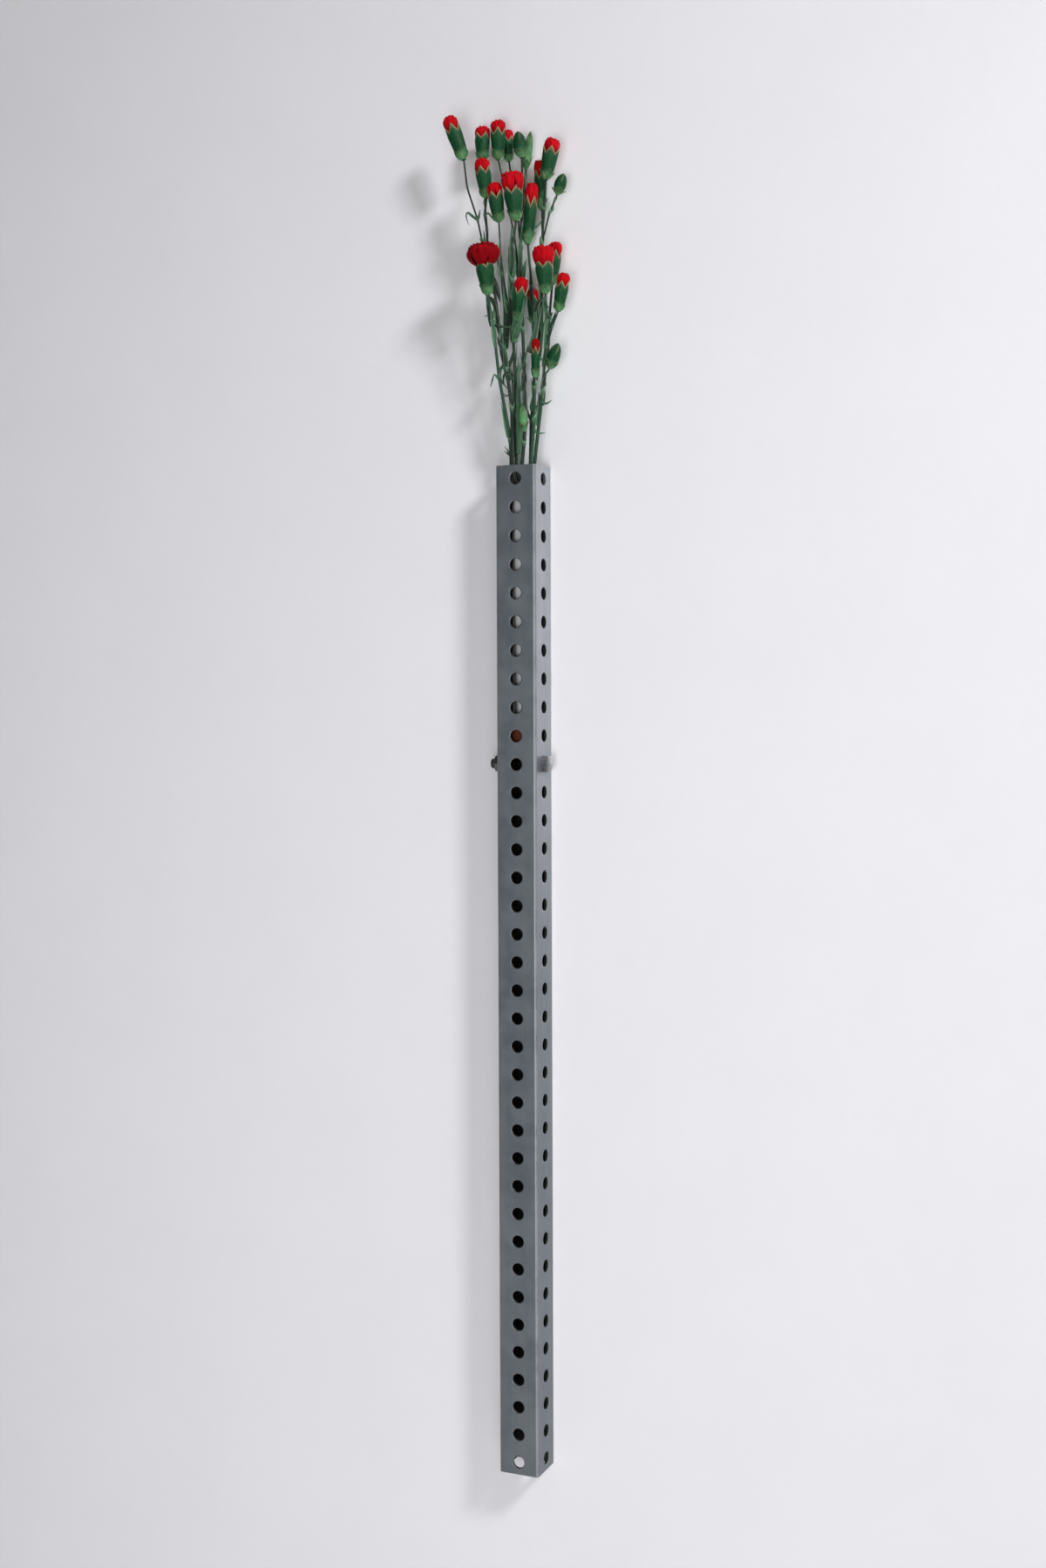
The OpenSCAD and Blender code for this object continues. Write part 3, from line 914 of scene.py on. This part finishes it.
def steel():
    """Dull galvanised steel, with painted shade inside the tube and in its hole bores, and painted light
    inside near its open top
    """
    n = Nodes("galvanised_steel")
    dark, to_hole, corner, rise = tube_masks(n)
    cloud = n.noise(38, 6, 0.6)
    grain = n.noise(900, 3, 0.6)
    streak = n.noise(60, 5, 0.65, (1, 1, 0.06))
    shade = n.mix(n.between(cloud, 0.3, 0.7), (0.112, 0.13, 0.15), (0.15, 0.17, 0.192))
    shade = n.mix(n.between(streak, 0.35, 0.75, 0, 0.5), shade, (0.175, 0.192, 0.208))
    shade = n.mix(n.between(grain, 0.55, 0.8, 0, 0.35), shade, (0.09, 0.1, 0.11))
    # Lighter rounded corners: partly rubbed wear and partly a painted highlight along the edges
    wear_and_highlight = n.between(corner, (TUBE_W / 2 - CORNER_R + 0.2) * MM, (TUBE_W / 2 - CORNER_R + 1.2) * MM)
    shade = n.mix(n.math("MULTIPLY", wear_and_highlight, n.between(cloud, 0.25, 0.6, 0.25, 0.75)), shade, (0.3, 0.31, 0.32))
    # Painted shade: a darker ring round each hole where its edge rolls down into it
    rim = n.between(to_hole, (HOLE_R + 0.9) * MM, (HOLE_R + 0.1) * MM, 0, 0.4)
    shade = n.mix(rim, shade, (0.09, 0.1, 0.11))
    # Painted shade and light: the inside and the hole bores are made near black, growing lighter towards the
    # open top as if light fell in there
    mouth = n.between(rise, (TUBE_TOP - 34) * MM, (TUBE_TOP - 8) * MM)
    shade = n.mix(dark, shade, n.mix(mouth, (0.02, 0.02, 0.02), (0.12, 0.125, 0.13)))
    rough = n.between(n.math("ADD", cloud, grain), 0.7, 1.4, 0.36, 0.52)
    rolled = n.between(to_hole, HOLE_R * MM, (HOLE_R + 0.8) * MM)
    height = n.math("ADD", n.math("MULTIPLY", rolled, 4.0), n.math("MULTIPLY", grain, 0.35))
    n.bump(n.math("ADD", height, n.math("MULTIPLY", cloud, 0.5)), 0.00008)
    return n.surface(Base_Color=shade, Roughness=rough, Metallic=0.4)


def zinc():
    """Zinc plate with fine scratches, with painted shade on the shank inside the tube and on the nut's side
    """
    n = Nodes("zinc_plated_steel")
    cloud = n.noise(160, 5, 0.6)
    scratch = n.noise(900, 3, 0.7, (0.15, 1, 1))
    across = n.axes()["X"]
    shade = n.mix(n.between(cloud, 0.3, 0.7), (0.165, 0.17, 0.178), (0.27, 0.27, 0.278))
    shade = n.mix(n.between(scratch, 0.6, 0.8, 0, 0.5), shade, (0.1, 0.1, 0.105))
    outside = n.between(across, (TUBE_W / 2 - 0.6) * MM, (TUBE_W / 2 - 0.1) * MM)
    beyond = n.between(across, (0.2 - TUBE_W / 2) * MM, (0.6 - TUBE_W / 2) * MM)
    # Painted shade: the shank inside the tube is made near black and the nut on the shaded left side darker
    painted_shade_shank_and_nut = n.mix(beyond, n.mix(n.between(cloud, 0.3, 0.7), (0.09, 0.09, 0.095), (0.16, 0.16, 0.165)),
        n.mix(cloud, (0.008, 0.008, 0.008), (0.016, 0.016, 0.016)))
    shade = n.mix(outside, painted_shade_shank_and_nut, shade)
    rough = n.between(cloud, 0.3, 0.7, 0.25, 0.45)
    n.bump(scratch, 0.00003)
    return n.surface(Base_Color=shade, Roughness=rough, Metallic=0.75, Specular_IOR_Level=0.3)


def frosted_glass():
    """Satin glass, whitish where it faces the eye, with painted shade along its sides and a painted shadow on
    its left
    """
    n = Nodes("frosted_glass")
    film = n.noise(120, 4, 0.6, (1, 1, 0.25))
    shade = n.mix(n.between(film, 0.35, 0.7), (0.78, 0.81, 0.84), (0.64, 0.68, 0.71))
    shadow = (0.03, 0.035, 0.04)
    # Painted shade: darker where the surface turns away from the eye
    turned = n.add("ShaderNodeLayerWeight")
    turned.inputs["Blend"].default_value = 0.5
    shade = n.mix(n.between(turned.outputs["Facing"], 0.25, 0.8, 0, 0.85), shade, shadow)
    # Painted shadow: darker on the glass's left side, and more so lower down
    axes = n.axes()
    slant = n.math("ADD", axes["X"], n.math("MULTIPLY", axes["Z"], 0.028))
    shade = n.mix(n.between(slant, 7.8 * MM, 2.2 * MM, 0, 0.9), shade, shadow)
    n.bump(n.noise(2500, 2), 0.00002)
    rough = n.between(film, 0.3, 0.7, 0.35, 0.6)
    return n.surface(Base_Color=shade, Roughness=rough, Transmission_Weight=0.2, IOR=1.47)


def rubber():
    """Red-brown moulded rubber with a dusty bloom"""
    n = Nodes("red_brown_rubber")
    bloom = n.noise(220, 5, 0.6)
    shade = n.mix(n.between(bloom, 0.35, 0.75), (0.075, 0.014, 0.006), (0.12, 0.026, 0.013))
    n.bump(n.noise(1500, 3), 0.00006)
    rough = n.between(bloom, 0.3, 0.7, 0.55, 0.8)
    return n.surface(Base_Color=shade, Roughness=rough, Specular_IOR_Level=0.25)


def waxy_green(name, low, high, pale, rough):
    """Plant skin with a waxy bloom and pale margins. Its colour runs from low to high.
    A tone's third number above 1.1 turns it dark."""
    n = Nodes(name)
    tone = n.tone()
    blotch = n.noise(260, 4, 0.6)
    vein = n.noise(1400, 3, 0.6, (1, 1, 0.12))
    shade = n.mix(tone["Red"], low, high)
    shade = n.mix(n.between(blotch, 0.35, 0.7, 0, 0.45), shade, tuple(c * 0.55 for c in high))
    shade = n.mix(n.between(vein, 0.5, 0.75, 0, 0.3), shade, tuple(min(1, c * 1.5) for c in low))
    shade = n.mix(n.math("MULTIPLY", tone["Blue"], 0.3), shade, tuple(c * 0.8 for c in low))
    # Dark grey-green above 1.1; on stems below the tube's mouth this is painted shade
    shade = n.mix(n.between(tone["Blue"], 1.1, 1.5), shade, (0.018, 0.028, 0.021))
    shade = n.mix(tone["Green"], shade, pale)
    n.bump(n.math("ADD", vein, n.math("MULTIPLY", blotch, 0.6)), 0.00012)
    return n.surface(Base_Color=shade, Roughness=rough, Specular_IOR_Level=0.2)


def calyx_green():
    """Calyx skin: pale at its foot, deep green above, and cream-pink along the teeth"""
    n = Nodes("calyx_green")
    tone = n.tone()
    blotch = n.noise(240, 4, 0.6)
    rib = n.noise(1100, 2, 0.5, (1, 1, 0.1))
    shade = n.mix(n.between(tone["Red"], 0.0, 0.34), (0.14, 0.36, 0.15), (0.004, 0.054, 0.017))
    shade = n.mix(n.between(tone["Red"], 0.5, 0.95), shade, (0.012, 0.078, 0.03))
    shade = n.mix(n.between(blotch, 0.35, 0.7, 0, 0.5), shade, (0.004, 0.032, 0.012))
    shade = n.mix(n.between(rib, 0.5, 0.75, 0, 0.3), shade, (0.04, 0.15, 0.065))
    shade = n.mix(n.math("MULTIPLY", tone["Blue"], 0.25), shade, (0.012, 0.06, 0.028))
    shade = n.mix(n.math("MULTIPLY", tone["Green"], 0.8), shade, (0.48, 0.3, 0.17))
    n.bump(n.math("ADD", rib, n.math("MULTIPLY", blotch, 0.5)), 0.00012)
    return n.surface(Base_Color=shade, Roughness=0.5, Specular_IOR_Level=0.14)


def petal_red():
    """Velvety red, with painted shade in the foot of each petal and in the troughs of its folds"""
    n = Nodes("petal_red")
    tone = n.tone()
    cloud = n.noise(300, 4, 0.6)
    vein = n.noise(1600, 3, 0.6, (1, 1, 0.15))
    # Painted shade low on each petal and in its fold troughs, painted light on its fold crests
    shade = n.mix(n.between(tone["Red"], 0.1, 0.75), (0.12, 0.0, 0.002), (0.55, 0.003, 0.01))
    shade = n.mix(n.between(cloud, 0.35, 0.75, 0, 0.4), shade, (0.28, 0.001, 0.004))
    shade = n.mix(n.between(vein, 0.5, 0.8, 0, 0.3), shade, (0.72, 0.01, 0.02))
    shade = n.mix(n.math("MULTIPLY", tone["Blue"], 0.6), shade, (0.2, 0.0, 0.003))
    shade = n.mix(n.math("MULTIPLY", tone["Green"], 0.2), shade, (0.8, 0.02, 0.03))
    n.bump(n.math("ADD", vein, cloud), 0.00015)
    return n.surface(Base_Color=shade, Roughness=0.75, Specular_IOR_Level=0.06, Sheen_Weight=0.015,
        Sheen_Roughness=0.5)


def plaster(name, colour):
    """Plain painted plaster, seen through from behind and open to the lamp behind it"""
    n = Nodes(name)
    soft = n.noise(9, 3, 0.5)
    shade = n.mix(n.between(soft, 0.3, 0.7, 0, 1), colour, tuple(c * 0.985 for c in colour))
    n.bump(n.noise(70, 4, 0.5), 0.00025)
    n.surface(Base_Color=shade, Roughness=0.9)
    through = n.math("MAXIMUM", n.add("ShaderNodeNewGeometry").outputs["Backfacing"],
        n.add("ShaderNodeLightPath").outputs["Is Shadow Ray"])
    mixer = n.add("ShaderNodeMixShader")
    n.join(through, mixer.inputs["Fac"])
    n.join(n.shader.outputs["BSDF"], mixer.inputs[1])
    n.join(n.add("ShaderNodeBsdfTransparent").outputs["BSDF"], mixer.inputs[2])
    n.join(mixer.outputs["Shader"], n.tree.nodes["Material Output"].inputs["Surface"])
    return n.material


# Stage, lamps and camera

def make_panel(name, corners, surface):
    """A flat panel of the stage"""
    mesh = bpy.data.meshes.new(name)
    mesh.from_pydata(corners, [], [(0, 1, 2, 3)])
    mesh.materials.append(surface)
    panel = bpy.data.objects.new(name, mesh)
    bpy.context.scene.collection.objects.link(panel)


def make_lamp(name, size, power, azimuth, distance, height, spread):
    """A round soft lamp that faces the tube's middle"""
    lamp = bpy.data.lights.new(name, "AREA")
    lamp.shape = "DISK"
    lamp.size = size
    lamp.energy = power
    lamp.spread = math.radians(spread)
    item = bpy.data.objects.new(name, lamp)
    turn = math.radians(azimuth)
    item.location = (distance * math.sin(turn), -distance * math.cos(turn), height)
    item.rotation_euler = (-item.location).to_track_quat("-Z", "Y").to_euler()
    bpy.context.scene.collection.objects.link(item)


def make_world():
    """A pale backdrop for the camera that hardly lights the object"""
    world = bpy.data.worlds.new("studio")
    bpy.context.scene.world = world
    world.use_nodes = True
    background = world.node_tree.nodes["Background"]
    background.inputs["Color"].default_value = (0.8, 0.8, 0.82, 1)
    seen = world.node_tree.nodes.new("ShaderNodeLightPath")
    level = world.node_tree.nodes.new("ShaderNodeMapRange")
    level.inputs["To Min"].default_value = 0.04
    level.inputs["To Max"].default_value = 0.95
    world.node_tree.links.new(seen.outputs["Is Camera Ray"], level.inputs["Value"])
    world.node_tree.links.new(level.outputs["Result"], background.inputs["Strength"])


def make_camera():
    """The photograph's camera"""
    yaw, pitch, roll = (math.radians(a) for a in CAMERA_ANGLES)
    ahead = Vector((-math.sin(yaw) * math.cos(pitch), math.cos(yaw) * math.cos(pitch), math.sin(pitch)))
    level = Vector((math.cos(yaw), math.sin(yaw), 0))
    upright = level.cross(ahead)
    right = level * math.cos(roll) + upright * math.sin(roll)
    up = upright * math.cos(roll) - level * math.sin(roll)
    camera = bpy.data.cameras.new("camera")
    camera.sensor_fit = "VERTICAL"
    camera.sensor_height = SENSOR_HEIGHT
    camera.lens = FOCAL_PX / PHOTO_HEIGHT_PX * SENSOR_HEIGHT
    item = bpy.data.objects.new("camera", camera)
    turned = Matrix((right, up, -ahead)).transposed().to_4x4()
    item.matrix_world = Matrix.Translation(CAMERA_PLACE) @ turned
    bpy.context.scene.collection.objects.link(item)
    bpy.context.scene.camera = item


def make_stage():
    """The wall, the floor, the backdrop and the lamps"""
    wall, floor = plaster("wall_paint", (0.8, 0.794, 0.83)), plaster("floor_paint", (0.72, 0.71, 0.7))
    back, side, low, high, front = 0.0004, 3.5, -1.1, 2.6, -4
    foot_left, foot_right = (-side, back, low), (side, back, low)
    make_panel("wall", [foot_left, foot_right, (side, back, high), (-side, back, high)], wall)
    make_panel("floor", [(-side, front, low), (side, front, low), foot_right, foot_left], floor)
    make_world()
    for lamp in LAMPS:
        make_lamp(*lamp)


def assign(node, surface):
    """Puts a material on a CAD node"""
    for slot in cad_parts[node].material_slots:
        slot.material = surface


def main():
    bpy.context.scene.view_settings.view_transform = "Standard"
    make_camera()
    make_stage()
    assign("perforated_tube", steel())
    assign("glass_tube", frosted_glass())
    assign("rubber_cap", rubber())
    fastener = zinc()
    make_bolt(fastener)
    make_nut(fastener)
    surfaces = {
        "stem": waxy_green("stem_green", (0.018, 0.068, 0.034), (0.048, 0.067, 0.056),
            (0.08, 0.14, 0.09), 0.45),
        "leaf": waxy_green("leaf_green", (0.075, 0.2, 0.1), (0.03, 0.075, 0.045),
            (0.28, 0.45, 0.3), 0.5),
        "calyx": calyx_green(),
        "petal": petal_red(),
    }
    for number, spray in enumerate(SPRAYS, 1):
        make_spray(number, spray, surfaces)


main()
